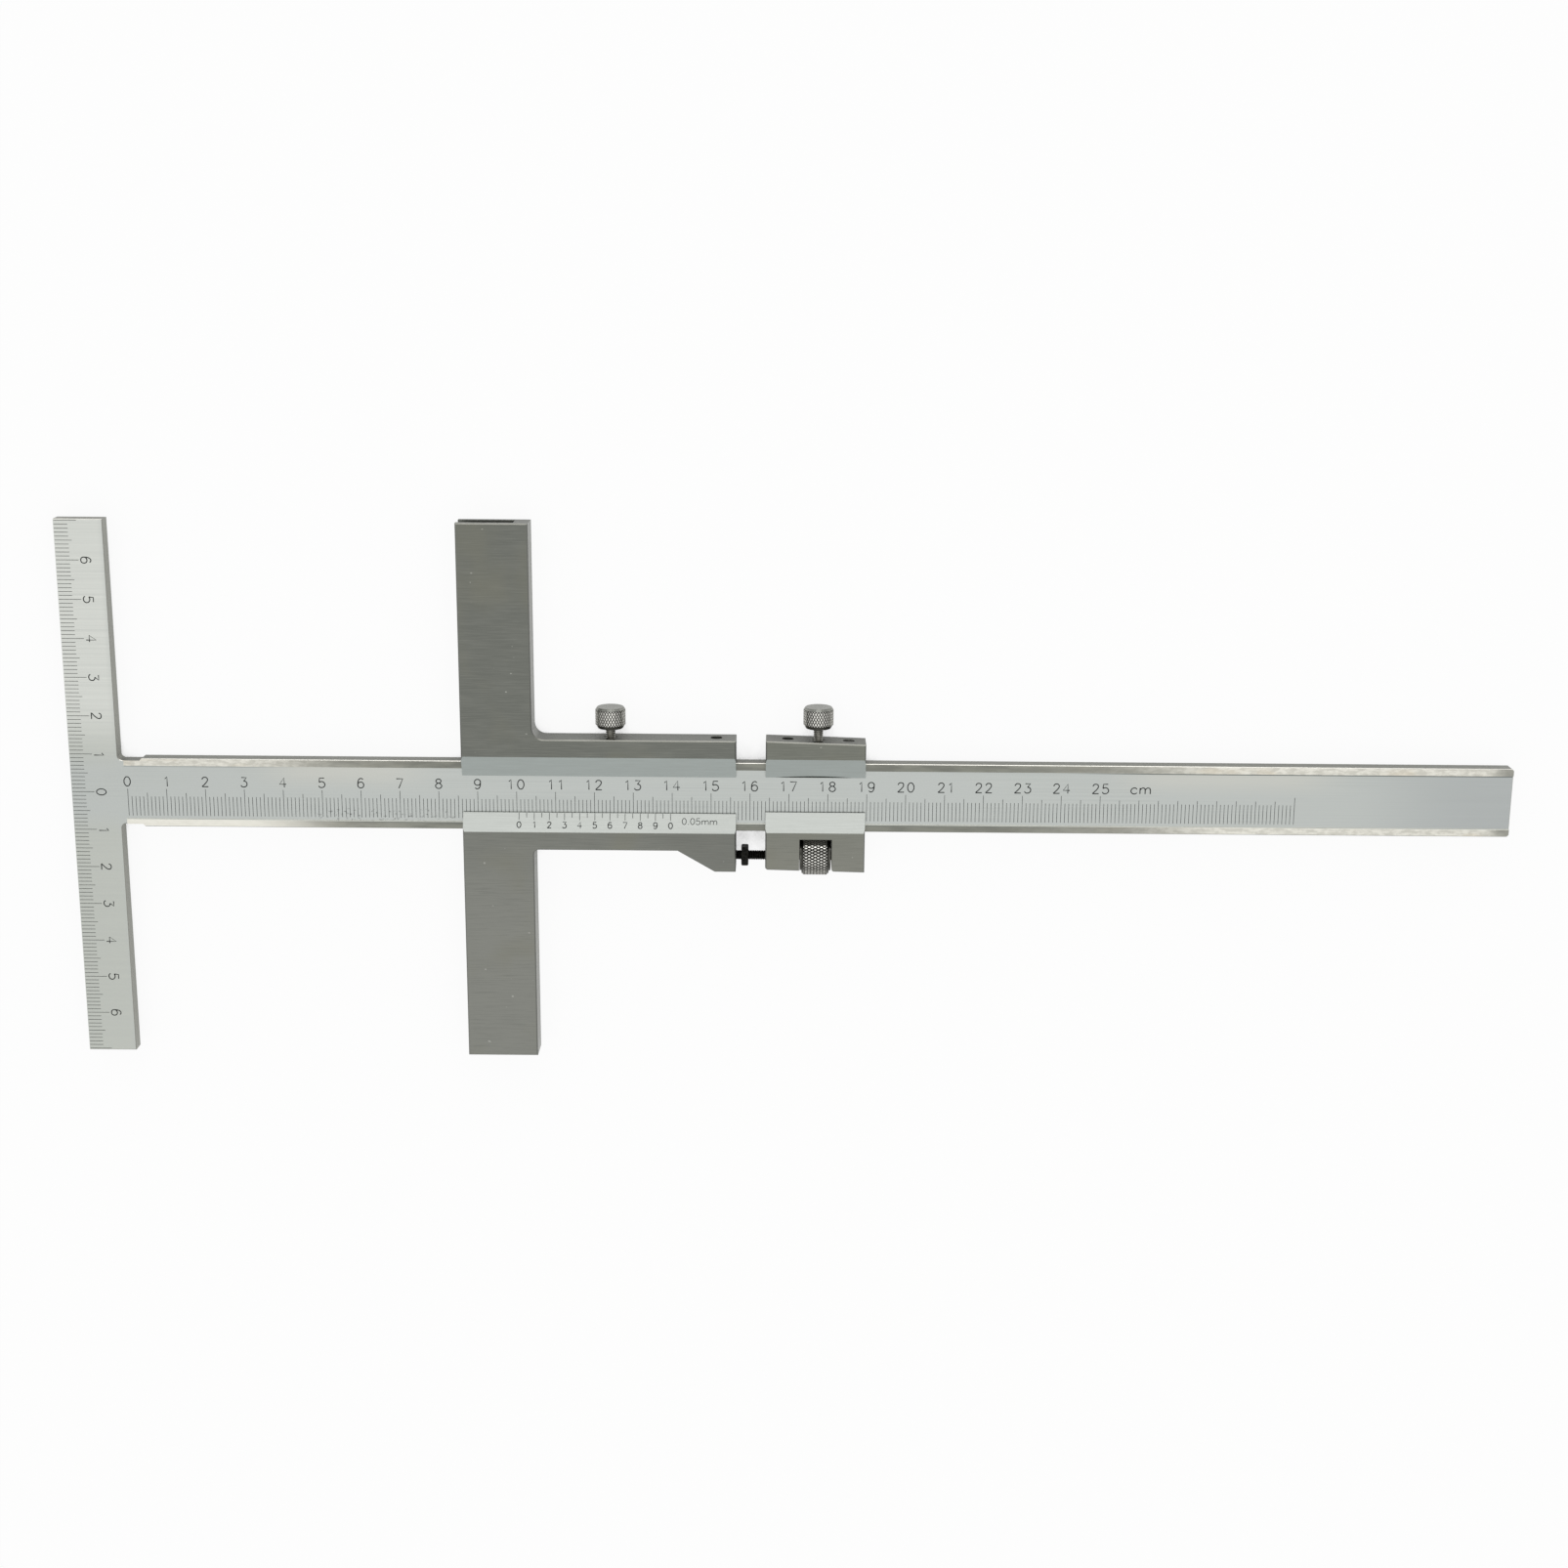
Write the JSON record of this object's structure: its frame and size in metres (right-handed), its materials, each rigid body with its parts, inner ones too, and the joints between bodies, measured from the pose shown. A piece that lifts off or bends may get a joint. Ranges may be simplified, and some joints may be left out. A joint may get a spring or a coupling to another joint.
{
  "type": "marking caliper",
  "caption": "Marking caliper with a graduated T-shaped beam, a long slotted fence on a vernier slider, and a fine-adjusting block with knurled nut and clamp screws.",
  "frame": {"origin": "centre of the crossbar's outer (scribing) face, from which every reading is taken", "axes": "+X along the beam away from the crossbar, +Y along the crossbar towards the clamp screws, +Z out of the graduated face; the tool lies on its back"},
  "size_m": [0.37, 0.1408, 0.01],
  "materials": {
    "beam_steel": "satin chrome face between ground rails",
    "body_steel": "brushed, with bright satin lips",
    "gib_brass": "ground",
    "screw_steel": "plain",
    "knurled_steel": "diamond knurled, turned ends",
    "black_oxide": "black oxide, matt"
  },
  "bodies": {
    "beam": {"t_beam": "beam_steel"},
    "slider": {"slider_body": "body_steel", "slider_gib": "gib_brass", "slider_gib_screw": "screw_steel", "adjusting_screw": "black_oxide", "lock_nut": "black_oxide"},
    "slider_clamp": {"slider_clamp_screw": "knurled_steel"},
    "adjuster": {"adjuster_block": "body_steel", "adjuster_gib": "gib_brass", "adjuster_gib_screws": "screw_steel"},
    "adjuster_clamp": {"adjuster_clamp_screw": "knurled_steel"},
    "nut": {"adjusting_nut": "knurled_steel"}
  },
  "joints": [
    {"name": "slider_slide", "type": "slide", "parent": "beam", "child": "slider", "axis": [1, 0, 0], "range_m": [-0.1006, 0.1494]},
    {"name": "adjuster_slide", "type": "slide", "parent": "slider", "child": "adjuster", "axis": [1, 0, 0], "range_m": [-0.004, 0.004]},
    {"name": "nut_turn", "type": "hinge", "parent": "adjuster", "child": "nut", "pos_m": [0.1913, -0.016, 0], "axis": [1, 0, 0], "range_deg": [-3200.5, 3200.5]},
    {"name": "slider_clamp_turn", "type": "hinge", "parent": "slider", "child": "slider_clamp", "pos_m": [0.1386, 0.0166, 0], "axis": [0, 1, 0], "range_deg": [-80, 360]},
    {"name": "adjuster_clamp_turn", "type": "hinge", "parent": "adjuster", "child": "adjuster_clamp", "pos_m": [0.1918, 0.0169, 0], "axis": [0, 1, 0], "range_deg": [-360, 360]}
  ],
  "couplings": [
    {"joint": "nut_turn", "follows": "adjuster_slide", "rad_per_m": 13963}
  ]
}
